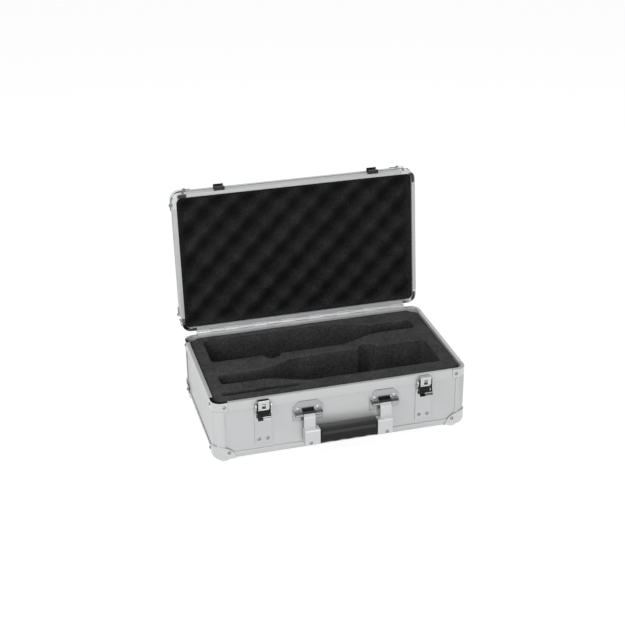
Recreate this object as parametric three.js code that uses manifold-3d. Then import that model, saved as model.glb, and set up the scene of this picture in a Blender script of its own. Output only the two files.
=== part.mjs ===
// Wine bottle case: a framed, silver-panelled case for two bottles, standing with its lid open.
// Millimetres. +X runs to the right along the case, -Y is the front and +Z is up.
// The origin is the middle of the underside; the feet reach below it.

import * as THREE from 'three';
import { mergeVertices } from 'three/addons/utils/BufferGeometryUtils.js';
import Module from 'manifold-3d';

// Whole case
const caseLength = 424;
const caseWidth = 243;
const baseHeight = 105.5;
const lidHeight = 36;
const partingGap = 0.8;
const cornerRadius = 16;
const lidOpenAngle = THREE.MathUtils.degToRad(96);

// Clearances and counts
const seat = 0.3;
const overrun = 1;
const cornerSteps = 5;
const roundSteps = 14;

// Frame of profiles, panels and corner pieces
const profileWall = 1.3;
const rim = { width: 6, outerFlange: 15.5, innerFlange: 10 };
const edge = { radius: 10, lip: 4, steps: 5 };
const post = { leg: 19, web: 16 };
const rimCorner = { leg: 25, thickness: 0.7, rivetInset: 19 };
const cap = {
  reach: 37, thickness: 1.3, rivetInset: 24, baseHeight: 28, baseRivetHeight: 15, lidHeight: 19.5,
  lidRivetDepth: 10.5,
};
const foot = { inset: 19, topRadius: 14, restRadius: 10.5, height: 5.5 };
const rivet = { radius: 2.6, height: 1.3, root: 0.5, steps: 8, rings: 2 };

// Foam
const foam = { below: 3, cornerCut: 16, padThickness: 10, lidCrest: 16, lidPitch: 53, samplesPerPitch: 5 };
const recess = {
  endMargin: 30, frontMargin: 43.5, between: 23, rearMargin: 18.5, neckRadius: 15, neckLength: 66,
  shoulderLength: 82, shoulderSteps: 8, endRadius: 5, scoopRadius: 14, scoopFromBase: 102,
};
const opener = { length: 127, width: 8, endMargin: 25, frontMargin: 31.5 };

// Full-length hinge on the rear
const hinge = {
  endMargin: 24, knuckles: 15, out: 4, knuckleRadius: 3.2, pinRadius: 1.5, leafHeight: 21,
  leafThickness: 1.2, rivetHeight: 13.5, rivets: 7, rivetMargin: 14,
};

// Latches and their catches
const latch = {
  endMargin: 77.5, rightShift: 3, plateWidth: 28, plateBottom: 23, plateDrop: 1, plateThickness: 1.2,
  pivotOut: 6.5, pivotDrop: 11, pinRadius: 1.5, pinClearance: 0.3,
  earThickness: 2, earRadius: 3.2, earGap: 0.5, earRootOut: 3.4, earRootDrop: 25,
  rivetHeight: 31, rivetSpacing: 14,
};
const lever = {
  width: 22, sheet: 1.6, hubRadius: 3.2, clawDrop: 6.5, cheekInset: 0.2, cheekEnd: 17.8,
  faceOut: 5.4, faceTop: 15.5, toeBend: 17.2, toeMid: 19, toeMidOut: 1.2, toeTip: 20.8, toeTipOut: 3.8,
};
const claw = {
  width: 18, sheet: 1.6, barrelRadius: 2.2, trunnionRadius: 1.3, shankOut: 3.1, kneeRise: 3,
  topDrop: 1.6, hookOut: 4.6, tip: 2.2, windowWidth: 6, windowDrop: 5,
};
const lidHook = {
  width: 17, sheet: 1.4, bottom: 1.7, height: 13, shelf: 4.6, lip: 4, flange: 6.5, rivetSpacing: 9,
  rivetDrop: 4.2,
};

// Handle
const handle = {
  reachShare: 0.1505, rightShift: 6, pivotOut: 7, pivotDrop: 21.5, pinRadius: 2, pinClearance: 0.3,
  bracketWidth: 50, bracketTop: 20, bracketBottom: 15, bracketCorner: 10, bracketThickness: 1.2,
  knuckleLength: 12, knuckleRadius: 4.4, knuckleGap: 0.6, windowHeight: 15, pocketMargin: 1,
  rivetSpacing: 33, rivetRise: 7.3, barrelRadius: 4.2, armWidth: 19, strapThickness: 2.4, strapInset: 0.2,
  strapOut: 11.6, strapDrop: 6,
};
const grip = {
  endInset: 15.8, bottom: 15.4, height: 28.2, rear: 2.5, depth: 17.6, edgeRadius: 3,
  endShrink: 0.6, tenonLength: 9, tenonHeight: 10, tenonDepth: 8, screwHeight: 4,
};

const rimTop = baseHeight;
const lidBottom = baseHeight + partingGap;
const lidTop = lidBottom + lidHeight;
const innerInset = rim.width + seat;
const panelInset = profileWall + seat;
const panelThickness = rim.width - 2 * panelInset;
const panelFace = caseWidth / 2 - panelInset;
const edgeReach = edge.radius + edge.lip;
const slabInset = edge.radius + seat;
const slabBottom = profileWall + seat;
const slabTop = slabBottom + panelThickness;
const foamTop = rimTop - foam.below;
const recessLength = caseLength - 2 * recess.endMargin;
const bodyRadius = (caseWidth - recess.frontMargin - recess.between - recess.rearMargin) / 4;
const frontBottleY = -caseWidth / 2 + recess.frontMargin + bodyRadius;
const rearBottleY = caseWidth / 2 - recess.rearMargin - bodyRadius;
const flangeBottom = rimTop - rim.outerFlange;
const latchPivotHeight = rimTop - latch.pivotDrop;
const handlePivotHeight = flangeBottom - handle.pivotDrop;
const handleReach = caseLength * handle.reachShare;
const gripHalfLength = handleReach - grip.endInset;
const hingeAxis = { y: caseWidth / 2 + hinge.out, z: baseHeight + partingGap / 2 };
const hingeWidth = caseLength - 2 * hinge.endMargin;
const corners = [
  { name: 'front_left', x: -1, y: -1 },
  { name: 'front_right', x: 1, y: -1 },
  { name: 'rear_right', x: 1, y: 1 },
  { name: 'rear_left', x: -1, y: 1 },
];
const sides = [{ name: 'left', x: -1 }, { name: 'right', x: 1 }];

const wasm = await Module();
wasm.setup();

// Solids and how they are cut and joined
function solidOf(geometry) {
  geometry.deleteAttribute('normal');
  geometry.deleteAttribute('uv');
  const merged = mergeVertices(geometry);
  return new wasm.Manifold(new wasm.Mesh({
    numProp: 3,
    vertProperties: new Float32Array(merged.attributes.position.array),
    triVerts: new Uint32Array(merged.index.array),
  }));
}

function geometryOf(solid) {
  const mesh = solid.getMesh();
  const geometry = new THREE.BufferGeometry();
  geometry.setAttribute('position', new THREE.BufferAttribute(mesh.vertProperties, mesh.numProp));
  geometry.setIndex(new THREE.BufferAttribute(mesh.triVerts, 1));
  geometry.computeVertexNormals();
  return geometry;
}

function joined(solids) {
  return solids.reduce((whole, piece) => whole.add(piece));
}

function block(x0, x1, y0, y1, z0, z1) {
  const geometry = new THREE.BoxGeometry(x1 - x0, y1 - y0, z1 - z0);
  return solidOf(geometry.translate((x0 + x1) / 2, (y0 + y1) / 2, (z0 + z1) / 2));
}

// A plan outline raised from one height to another
function raised(shape, z0, z1) {
  const geometry = new THREE.ExtrudeGeometry(shape, {
    depth: z1 - z0, bevelEnabled: false, curveSegments: cornerSteps,
  });
  return solidOf(geometry.translate(0, 0, z0));
}

// A side outline, drawn in distance out from a front-facing plane and in height, carried along X
const outwardBasis = new THREE.Matrix4().makeBasis(
  new THREE.Vector3(0, -1, 0), new THREE.Vector3(0, 0, 1), new THREE.Vector3(-1, 0, 0));

function acrossFront(shape, planeY, x, width) {
  const geometry = new THREE.ExtrudeGeometry(shape, {
    depth: width, bevelEnabled: false, curveSegments: cornerSteps,
  });
  geometry.translate(0, 0, -width / 2).applyMatrix4(outwardBasis);
  return solidOf(geometry.translate(x, planeY, 0));
}

// A bar with round ends from one point of the side view to the next
function barOutline(a, b, radius) {
  const angle = Math.atan2(b[1] - a[1], b[0] - a[0]);
  const shape = new THREE.Shape();
  shape.absarc(b[0], b[1], radius, angle - Math.PI / 2, angle + Math.PI / 2, false);
  shape.absarc(a[0], a[1], radius, angle + Math.PI / 2, angle + 3 * Math.PI / 2, false);
  shape.closePath();
  return shape;
}

function bentSheet(points, thickness, planeY, x, width) {
  const bars = [];
  for (let i = 0; i + 1 < points.length; i += 1) {
    const outline = barOutline(points[i], points[i + 1], thickness / 2);
    bars.push(acrossFront(outline, planeY, x, width));
  }
  return joined(bars);
}

function rodAlongX(radius, length, x, y, z) {
  const geometry = new THREE.CylinderGeometry(radius, radius, length, roundSteps);
  return solidOf(geometry.rotateZ(Math.PI / 2).translate(x, y, z));
}

// A domed rivet head whose root sits under the face that it stands on
function rivetHead(x, y, z, direction) {
  const profile = [new THREE.Vector2(0, -rivet.root), new THREE.Vector2(rivet.radius, -rivet.root)];
  for (let i = 0; i < rivet.rings; i += 1) {
    const turn = (i / rivet.rings) * Math.PI / 2;
    profile.push(new THREE.Vector2(rivet.radius * Math.cos(turn), rivet.height * Math.sin(turn)));
  }
  profile.push(new THREE.Vector2(0, rivet.height));
  const geometry = new THREE.LatheGeometry(profile, rivet.steps);
  const turn = new THREE.Quaternion().setFromUnitVectors(new THREE.Vector3(0, 1, 0), direction);
  return solidOf(geometry.applyQuaternion(turn).translate(x, y, z));
}

const outwards = {
  front: new THREE.Vector3(0, -1, 0),
  rear: new THREE.Vector3(0, 1, 0),
};

// The case's plan: a rectangle with round corners, drawn some way in from its outer faces
function planOutline(inset) {
  const x = caseLength / 2 - inset;
  const y = caseWidth / 2 - inset;
  const r = cornerRadius - inset;
  const shape = new THREE.Shape();
  shape.absarc(x - r, -y + r, r, -Math.PI / 2, 0, false);
  shape.absarc(x - r, y - r, r, 0, Math.PI / 2, false);
  shape.absarc(-x + r, y - r, r, Math.PI / 2, Math.PI, false);
  shape.absarc(-x + r, -y + r, r, Math.PI, 3 * Math.PI / 2, false);
  shape.closePath();
  return shape;
}

// A section of inset and height points, in counter-clockwise order, carried round the case's plan
function carriedRound(section) {
  const stations = [];
  corners.forEach((corner, quarter) => {
    for (let i = 0; i <= cornerSteps; i += 1) {
      const angle = -Math.PI / 2 + (quarter + i / cornerSteps) * Math.PI / 2 - Math.PI / 2;
      stations.push({
        x: corner.x * (caseLength / 2 - cornerRadius),
        y: corner.y * (caseWidth / 2 - cornerRadius),
        cos: Math.cos(angle),
        sin: Math.sin(angle),
      });
    }
  });
  const positions = [];
  const triangles = [];
  const across = section.length;
  stations.forEach((s, i) => {
    section.forEach(([inset, z], j) => {
      const reach = cornerRadius - inset;
      positions.push(s.x + reach * s.cos, s.y + reach * s.sin, z);
      const a = i * across + j;
      const b = i * across + (j + 1) % across;
      const c = ((i + 1) % stations.length) * across + (j + 1) % across;
      const d = ((i + 1) % stations.length) * across + j;
      triangles.push(a, b, c, a, c, d);
    });
  });
  const geometry = new THREE.BufferGeometry();
  geometry.setAttribute('position', new THREE.Float32BufferAttribute(positions, 3));
  geometry.setIndex(triangles);
  return solidOf(geometry);
}

// A section drawn in depth from a face, placed at that face and turned to run up or down from it
function placed(section, faceZ, direction) {
  const points = section.map(([inset, depth]) => [inset, faceZ + direction * depth]);
  return direction > 0 ? points : points.reverse();
}

// The part of space within a leg's length of one corner of the plan
function cornerZone(corner, leg, z0, z1) {
  const x = corner.x * (caseLength / 2 + overrun + cap.thickness);
  const y = corner.y * (caseWidth / 2 + overrun + cap.thickness);
  const xIn = corner.x * (caseLength / 2 - leg);
  const yIn = corner.y * (caseWidth / 2 - leg);
  return block(Math.min(x, xIn), Math.max(x, xIn), Math.min(y, yIn), Math.max(y, yIn), z0, z1);
}

// Rim profile: an outer and an inner flange, with the panels in the slot between them
function rimSection() {
  const slotEnd = rim.width - profileWall;
  return [
    [0, 0], [rim.width, 0], [rim.width, rim.innerFlange], [slotEnd, rim.innerFlange],
    [slotEnd, profileWall], [profileWall, profileWall], [profileWall, rim.outerFlange], [0, rim.outerFlange],
  ];
}

// The folded sleeve of a rim corner, or the recess for it when grown by the seat clearance
function sleeveSection(grow) {
  const depth = rimCorner.thickness + grow;
  return [
    [-grow, -grow], [rim.width + grow, -grow], [rim.width + grow, depth], [depth, depth],
    [depth, rim.outerFlange + grow], [-grow, rim.outerFlange + grow],
  ];
}

function rimCornerZone(corner, faceZ, grow) {
  const zoneHeight = rim.outerFlange + overrun;
  return cornerZone(corner, rimCorner.leg + grow, faceZ - zoneHeight, faceZ + zoneHeight);
}

function rimProfile(faceZ, direction) {
  let profile = carriedRound(placed(rimSection(), faceZ, direction));
  const recessed = carriedRound(placed(sleeveSection(seat), faceZ, direction));
  for (const corner of corners) {
    profile = profile.subtract(recessed.intersect(rimCornerZone(corner, faceZ, seat)));
  }
  return profile;
}

function rimCornerPiece(corner, faceZ, direction) {
  const sleeve = carriedRound(placed(sleeveSection(0), faceZ, direction));
  const z = faceZ + direction * rim.outerFlange / 2;
  const frontRivet = rivetHead(
    corner.x * (caseLength / 2 - rimCorner.rivetInset), corner.y * caseWidth / 2, z,
    new THREE.Vector3(0, corner.y, 0));
  const sideRivet = rivetHead(
    corner.x * caseLength / 2, corner.y * (caseWidth / 2 - rimCorner.rivetInset), z,
    new THREE.Vector3(corner.x, 0, 0));
  return joined([sleeve.intersect(rimCornerZone(corner, faceZ, 0)), frontRivet, sideRivet]);
}

// Rounded profile along the outer edges of the base's underside and of the lid's top
function edgeSection() {
  const section = [[edgeReach, 0], [edgeReach, profileWall]];
  for (let i = 0; i <= edge.steps; i += 1) {
    const angle = -Math.PI / 2 - (i / edge.steps) * Math.PI / 2;
    const r = edge.radius - profileWall;
    section.push([edge.radius + r * Math.cos(angle), edge.radius + r * Math.sin(angle)]);
  }
  section.push([profileWall, edgeReach], [0, edgeReach]);
  for (let i = 0; i <= edge.steps; i += 1) {
    const angle = Math.PI + (i / edge.steps) * Math.PI / 2;
    section.push([edge.radius + edge.radius * Math.cos(angle), edge.radius + edge.radius * Math.sin(angle)]);
  }
  return section;
}

// Corner cap: a pressed shell that follows the edge profile round a corner
function capSection() {
  const inner = edge.radius + seat;
  const outer = inner + cap.thickness;
  const inward = (edgeReach + cornerRadius) / 2;
  const section = [[inward, -seat]];
  for (let i = 0; i <= edge.steps; i += 1) {
    const angle = -Math.PI / 2 - (i / edge.steps) * Math.PI / 2;
    section.push([edge.radius + inner * Math.cos(angle), edge.radius + inner * Math.sin(angle)]);
  }
  section.push([-seat, cap.reach], [-seat - cap.thickness, cap.reach]);
  for (let i = 0; i <= edge.steps; i += 1) {
    const angle = Math.PI + (i / edge.steps) * Math.PI / 2;
    section.push([edge.radius + outer * Math.cos(angle), edge.radius + outer * Math.sin(angle)]);
  }
  section.push([inward, -seat - cap.thickness]);
  return section;
}

function cornerCap(corner, faceZ, direction, height, rivetHeight) {
  const reach = new THREE.SphereGeometry(cap.reach, roundSteps * 2, roundSteps);
  reach.scale(1, 1, height / cap.reach);
  const ball = solidOf(reach.translate(corner.x * caseLength / 2, corner.y * caseWidth / 2, faceZ));
  const shell = carriedRound(placed(capSection(), faceZ, direction)).intersect(ball);
  const z = faceZ + direction * rivetHeight;
  const face = seat + cap.thickness;
  const frontRivet = rivetHead(
    corner.x * (caseLength / 2 - cap.rivetInset), corner.y * (caseWidth / 2 + face), z,
    new THREE.Vector3(0, corner.y, 0));
  const sideRivet = rivetHead(
    corner.x * (caseLength / 2 + face), corner.y * (caseWidth / 2 - cap.rivetInset), z,
    new THREE.Vector3(corner.x, 0, 0));
  return joined([shell, frontRivet, sideRivet]);
}

function footedCap(corner) {
  const height = foot.height - seat;
  const cone = new THREE.CylinderGeometry(foot.topRadius, foot.restRadius, height, roundSteps);
  cone.rotateX(Math.PI / 2);
  cone.translate(
    corner.x * (caseLength / 2 - foot.inset), corner.y * (caseWidth / 2 - foot.inset), -seat - height / 2);
  return cornerCap(corner, 0, 1, cap.baseHeight, cap.baseRivetHeight).add(solidOf(cone));
}

// Upright corner post of the base: two skins round the corner, a web between, slots for the panels
function cornerPost(corner) {
  const z0 = edgeReach + seat;
  const z1 = flangeBottom - seat;
  const ring = (from, to) => carriedRound([[from, z0], [to, z0], [to, z1], [from, z1]]);
  const skins = ring(0, profileWall).add(ring(rim.width - profileWall, rim.width));
  const zone = cornerZone(corner, post.leg, z0 - overrun, z1 + overrun);
  const webZone = cornerZone(corner, post.web, z0 - overrun, z1 + overrun);
  const web = ring(0, rim.width).intersect(webZone);
  return skins.intersect(zone).add(web);
}

// Side panels, which stand in the slots of the profiles
function longPanel(y, z0, z1) {
  const half = caseLength / 2 - post.web - seat;
  const inner = caseWidth / 2 - panelInset - panelThickness;
  const face = caseWidth / 2 - panelInset;
  return block(-half, half, Math.min(y * inner, y * face), Math.max(y * inner, y * face), z0, z1);
}

function shortPanel(x, z0, z1) {
  const half = caseWidth / 2 - post.web - seat;
  const inner = caseLength / 2 - panelInset - panelThickness;
  const face = caseLength / 2 - panelInset;
  return block(Math.min(x * inner, x * face), Math.max(x * inner, x * face), -half, half, z0, z1);
}

// The pockets that the arms' ends turn in, cut through the front panel behind the brackets' windows
function panelPocket(side) {
  return bracketWindow(handle.rightShift + side * handleReach, handle.pocketMargin);
}

// Bottom and top boards: a slab behind the edge profile's lip, with its middle raised flush to the lip
function rectangleOutline(inset, clip) {
  const x = caseLength / 2 - inset;
  const y = caseWidth / 2 - inset;
  return new THREE.Shape([
    new THREE.Vector2(-x + clip, -y), new THREE.Vector2(x - clip, -y), new THREE.Vector2(x, -y + clip),
    new THREE.Vector2(x, y - clip), new THREE.Vector2(x - clip, y), new THREE.Vector2(-x + clip, y),
    new THREE.Vector2(-x, y - clip), new THREE.Vector2(-x, -y + clip),
  ]);
}

function board(faceZ, direction, clip) {
  const heights = (a, b) => [Math.min(a, b), Math.max(a, b)];
  const slabCut = cornerRadius - slabInset;
  const slab = raised(
    rectangleOutline(slabInset, slabCut),
    ...heights(faceZ + direction * slabBottom, faceZ + direction * slabTop));
  const middle = raised(
    rectangleOutline(edgeReach + seat, clip), ...heights(faceZ, faceZ + direction * slabTop));
  return slab.add(middle);
}

// Foam
function bottleOutline() {
  const shape = new THREE.Path();
  const half = recessLength / 2;
  const neckEnd = -half + recess.neckLength;
  const bodyStart = neckEnd + recess.shoulderLength;
  const r = recess.endRadius;
  const shoulder = (side, t) => {
    const eased = (1 - Math.cos(Math.PI * t)) / 2;
    return side * (recess.neckRadius + (bodyRadius - recess.neckRadius) * eased);
  };
  shape.moveTo(-half, -recess.neckRadius + r);
  shape.absarc(-half + r, -recess.neckRadius + r, r, Math.PI, 3 * Math.PI / 2, false);
  for (let i = 0; i <= recess.shoulderSteps; i += 1) {
    const t = i / recess.shoulderSteps;
    shape.lineTo(neckEnd + t * recess.shoulderLength, shoulder(-1, t));
  }
  shape.absarc(half - r, -bodyRadius + r, r, -Math.PI / 2, 0, false);
  shape.absarc(half - r, bodyRadius - r, r, 0, Math.PI / 2, false);
  const scoopX = half - recess.scoopFromBase;
  shape.absarc(scoopX, bodyRadius, recess.scoopRadius, 0, Math.PI, false);
  for (let i = 0; i <= recess.shoulderSteps; i += 1) {
    const t = i / recess.shoulderSteps;
    shape.lineTo(bodyStart - t * recess.shoulderLength, shoulder(1, 1 - t));
  }
  shape.absarc(-half + r, recess.neckRadius - r, r, Math.PI / 2, Math.PI, false);
  return shape.getPoints(cornerSteps);
}

function foamInsert() {
  const shape = rectangleOutline(innerInset, foam.cornerCut);
  const outline = bottleOutline();
  shape.holes.push(new THREE.Path(outline.map((p) => new THREE.Vector2(p.x, frontBottleY + p.y))));
  shape.holes.push(new THREE.Path(outline.map((p) => new THREE.Vector2(-p.x, rearBottleY - p.y))));
  const slotX = -caseLength / 2 + opener.endMargin;
  const slotY = -caseWidth / 2 + opener.frontMargin;
  const slot = new THREE.Path();
  slot.moveTo(slotX, slotY);
  slot.lineTo(slotX + opener.length, slotY);
  slot.lineTo(slotX + opener.length, slotY + opener.width);
  slot.lineTo(slotX, slotY + opener.width);
  shape.holes.push(slot);
  return raised(shape, slabTop + seat * 2 + foam.padThickness, foamTop);
}

function foamPad() {
  return raised(planOutline(innerInset), slabTop + seat, slabTop + seat + foam.padThickness);
}

// Egg-crate sheet in the lid: rows of crests, each row set half a pitch along from the last
function lidFoam() {
  const halfX = caseLength / 2 - innerInset + overrun;
  const halfY = caseWidth / 2 - innerInset + overrun;
  const crestZ = lidBottom + foam.below;
  const backZ = lidTop - slabTop - seat;
  const nx = Math.round(2 * halfX / foam.lidPitch * foam.samplesPerPitch);
  const ny = Math.round(2 * halfY / foam.lidPitch * foam.samplesPerPitch);
  const wave = 2 * Math.PI / foam.lidPitch;
  const positions = [];
  const triangles = [];
  for (let j = 0; j <= ny; j += 1) {
    for (let i = 0; i <= nx; i += 1) {
      const x = -halfX + 2 * halfX * i / nx;
      const y = -halfY + 2 * halfY * j / ny;
      const dip = (1 - Math.cos(wave * x) * Math.cos(wave * y)) / 2;
      positions.push(x, y, crestZ + foam.lidCrest * dip);
    }
  }
  const at = (i, j) => j * (nx + 1) + i;
  for (let j = 0; j < ny; j += 1) {
    for (let i = 0; i < nx; i += 1) {
      triangles.push(at(i, j), at(i, j + 1), at(i + 1, j + 1), at(i, j), at(i + 1, j + 1), at(i + 1, j));
    }
  }
  const border = [];
  for (let i = 0; i < nx; i += 1) border.push(at(i, 0));
  for (let j = 0; j < ny; j += 1) border.push(at(nx, j));
  for (let i = nx; i > 0; i -= 1) border.push(at(i, ny));
  for (let j = ny; j > 0; j -= 1) border.push(at(0, j));
  const first = positions.length / 3;
  for (const index of border) positions.push(positions[index * 3], positions[index * 3 + 1], backZ);
  const centre = first + border.length;
  positions.push(0, 0, backZ);
  border.forEach((index, k) => {
    const next = (k + 1) % border.length;
    triangles.push(index, border[next], first + next, index, first + next, first + k);
    triangles.push(centre, first + k, first + next);
  });
  const geometry = new THREE.BufferGeometry();
  geometry.setAttribute('position', new THREE.Float32BufferAttribute(positions, 3));
  geometry.setIndex(triangles);
  return solidOf(geometry).intersect(raised(planOutline(innerInset), crestZ - overrun, lidTop));
}

// Hinge leaves with interleaved knuckles, and the pin through them
function hingeLeaf(direction) {
  const step = hingeWidth / hinge.knuckles;
  const face = caseWidth / 2 + seat;
  const clear = hinge.knuckleRadius + seat;
  const parts = [block(
    -hingeWidth / 2, hingeWidth / 2, face, face + hinge.leafThickness,
    Math.min(hingeAxis.z + direction * clear, hingeAxis.z + direction * hinge.leafHeight),
    Math.max(hingeAxis.z + direction * clear, hingeAxis.z + direction * hinge.leafHeight))];
  const first = direction < 0 ? 0 : 1;
  for (let i = first; i < hinge.knuckles; i += 2) {
    const middle = -hingeWidth / 2 + (i + 1 / 2) * step;
    const length = step - seat;
    parts.push(rodAlongX(hinge.knuckleRadius, length, middle, hingeAxis.y, hingeAxis.z));
    parts.push(block(
      middle - length / 2, middle + length / 2, face, hingeAxis.y,
      Math.min(hingeAxis.z, hingeAxis.z + direction * clear),
      Math.max(hingeAxis.z, hingeAxis.z + direction * clear)));
  }
  const rivetReach = hingeWidth / 2 - hinge.rivetMargin;
  for (let i = 0; i < hinge.rivets; i += 1) {
    parts.push(rivetHead(
      -rivetReach + 2 * rivetReach * i / (hinge.rivets - 1), face + hinge.leafThickness,
      hingeAxis.z + direction * hinge.rivetHeight, outwards.rear));
  }
  const bore = rodAlongX(
    hinge.pinRadius + seat, hingeWidth + 2 * overrun, 0, hingeAxis.y, hingeAxis.z);
  const behindFace = block(-caseLength, caseLength, face, caseWidth, -caseWidth, caseWidth);
  return joined(parts).subtract(bore).intersect(behindFace);
}

// Latch
const latchPlane = -panelFace;
const clawPivotHeight = latchPivotHeight - lever.clawDrop;
const leverFace = latch.pivotOut + lever.faceOut;

function latchPlate(x) {
  const face = latchPlane - seat;
  const parts = [block(
    x - latch.plateWidth / 2, x + latch.plateWidth / 2, face - latch.plateThickness, face,
    latch.plateBottom, flangeBottom - latch.plateDrop)];
  const earX = lever.width / 2 + latch.earGap + latch.earThickness / 2;
  for (const side of [-1, 1]) {
    const outline = barOutline(
      [latch.earRootOut, rimTop - latch.earRootDrop], [latch.pivotOut, latchPivotHeight], latch.earRadius);
    parts.push(acrossFront(outline, latchPlane, x + side * earX, latch.earThickness));
    parts.push(rivetHead(
      x + side * latch.rivetSpacing / 2, face - latch.plateThickness, latch.rivetHeight, outwards.front));
  }
  const bore = rodAlongX(
    latch.pinRadius + latch.pinClearance, latch.plateWidth + 2 * overrun, x,
    latchPlane - latch.pivotOut, latchPivotHeight);
  const inFront = block(-caseLength, caseLength, -caseWidth, face, 0, baseHeight);
  return joined(parts).subtract(bore).intersect(inFront);
}

function latchPin(x) {
  const length = lever.width + 2 * (latch.earGap + latch.earThickness);
  return rodAlongX(latch.pinRadius, length, x, latchPlane - latch.pivotOut, latchPivotHeight);
}

// Lever: two cheeks on the pin, joined below the claw's window by a curled front
function latchLever(x) {
  const z = latchPivotHeight;
  const parts = [bentSheet([
    [leverFace, z - lever.faceTop], [leverFace, z - lever.toeBend],
    [leverFace + lever.toeMidOut, z - lever.toeMid], [leverFace + lever.toeTipOut, z - lever.toeTip],
  ], lever.sheet, latchPlane, x, lever.width)];
  const cheek = new THREE.Shape();
  cheek.absarc(latch.pivotOut, z, lever.hubRadius, 0, Math.PI, false);
  cheek.lineTo(latch.pivotOut - lever.hubRadius, clawPivotHeight);
  cheek.lineTo(leverFace - lever.sheet, z - lever.cheekEnd);
  cheek.lineTo(leverFace, z - lever.cheekEnd);
  cheek.lineTo(leverFace, z - lever.faceTop);
  cheek.closePath();
  for (const end of [-1, 1]) {
    const middle = x + end * ((lever.width - lever.sheet) / 2 - lever.cheekInset);
    parts.push(acrossFront(cheek, latchPlane, middle, lever.sheet));
  }
  const length = lever.width + 2 * overrun;
  const bore = rodAlongX(latch.pinRadius + latch.pinClearance, length, x, latchPlane - latch.pivotOut, z);
  const clawBore = rodAlongX(
    claw.trunnionRadius + latch.pinClearance, length, x, latchPlane - latch.pivotOut, clawPivotHeight);
  return joined(parts).subtract(bore).subtract(clawBore);
}

function latchClaw(x) {
  const shank = latch.pivotOut + claw.shankOut;
  const top = rimTop - claw.topDrop;
  const hook = bentSheet([
    [latch.pivotOut, clawPivotHeight], [shank, clawPivotHeight + claw.kneeRise], [shank, top],
    [claw.hookOut, top], [claw.hookOut, top - claw.tip],
  ], claw.sheet, latchPlane, x, claw.width);
  const y = latchPlane - latch.pivotOut;
  const barrel = rodAlongX(claw.barrelRadius, claw.width, x, y, clawPivotHeight);
  const trunnion = rodAlongX(claw.trunnionRadius, lever.width, x, y, clawPivotHeight);
  const window = block(
    x - claw.windowWidth / 2, x + claw.windowWidth / 2, y - claw.shankOut - claw.sheet, y,
    clawPivotHeight + claw.kneeRise, top - claw.windowDrop);
  return joined([hook, barrel, trunnion]).subtract(window);
}

// Hook plate on the lid's front, which the claw draws down
function lidHookPlate(x) {
  const plane = -caseWidth / 2;
  const low = lidBottom + lidHook.bottom;
  const back = seat + lidHook.sheet / 2;
  const sheet = bentSheet([
    [back + lidHook.flange, low + lidHook.height], [back, low + lidHook.height], [back, low],
    [back + lidHook.shelf, low], [back + lidHook.shelf, low + lidHook.lip],
  ], lidHook.sheet, plane, x, lidHook.width);
  const rivets = [-1, 1].map((side) => rivetHead(
    x + side * lidHook.rivetSpacing / 2, plane - seat - lidHook.sheet,
    low + lidHook.height - lidHook.rivetDrop, outwards.front));
  return joined([sheet, ...rivets]);
}

// Handle
// The bracket's plate, with its two upper corners cut
function bracketPlate(x) {
  const half = handle.bracketWidth / 2;
  const corner = handle.bracketCorner;
  const low = handlePivotHeight - handle.bracketBottom;
  const top = handlePivotHeight + handle.bracketTop;
  const shape = new THREE.Shape([
    new THREE.Vector2(x - half, low), new THREE.Vector2(x + half, low),
    new THREE.Vector2(x + half, top - corner), new THREE.Vector2(x + half - corner, top),
    new THREE.Vector2(x - half + corner, top), new THREE.Vector2(x - half, top - corner),
  ]);
  const geometry = new THREE.ExtrudeGeometry(shape, {
    depth: handle.bracketThickness, bevelEnabled: false,
  });
  return solidOf(geometry.rotateX(Math.PI / 2).translate(0, latchPlane - seat, 0));
}

function bracketWindow(x, grow) {
  const half = handle.armWidth / 2 + seat + grow;
  const rise = handle.windowHeight / 2 + grow;
  return block(
    x - half, x + half, latchPlane - handle.pivotOut, latchPlane + rim.width,
    handlePivotHeight - rise, handlePivotHeight + rise);
}

// Bracket: a plate with a knuckle each side of the arm, riveted above and below each knuckle
function handleBracket(x) {
  const z = handlePivotHeight;
  const face = latchPlane - seat;
  const parts = [bracketPlate(x)];
  const knuckleX = handle.armWidth / 2 + handle.knuckleGap + handle.knuckleLength / 2;
  for (const side of [-1, 1]) {
    const outline = barOutline(
      [seat + handle.bracketThickness / 2, z], [handle.pivotOut, z], handle.knuckleRadius);
    parts.push(acrossFront(outline, latchPlane, x + side * knuckleX, handle.knuckleLength));
    for (const rise of [-handle.rivetRise, handle.rivetRise]) {
      parts.push(rivetHead(
        x + side * handle.rivetSpacing / 2, face - handle.bracketThickness, z + rise, outwards.front));
    }
  }
  const bore = rodAlongX(
    handle.pinRadius + handle.pinClearance, handle.bracketWidth, x, latchPlane - handle.pivotOut, z);
  const inFront = block(-caseLength, caseLength, -caseWidth, face, -overrun, baseHeight);
  return joined(parts).subtract(bore).intersect(inFront).subtract(bracketWindow(x, 0));
}

function handlePin(x) {
  const length = handle.armWidth + 2 * (handle.knuckleGap + handle.knuckleLength);
  return rodAlongX(handle.pinRadius, length, x, latchPlane - handle.pivotOut, handlePivotHeight);
}

function roundedSection(out, z, depth, height, radius) {
  const shape = new THREE.Shape();
  shape.absarc(out + depth - radius, z + radius, radius, -Math.PI / 2, 0, false);
  shape.absarc(out + depth - radius, z + height - radius, radius, 0, Math.PI / 2, false);
  shape.absarc(out + radius, z + height - radius, radius, Math.PI / 2, Math.PI, false);
  shape.absarc(out + radius, z + radius, radius, Math.PI, 3 * Math.PI / 2, false);
  shape.closePath();
  return shape;
}

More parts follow.
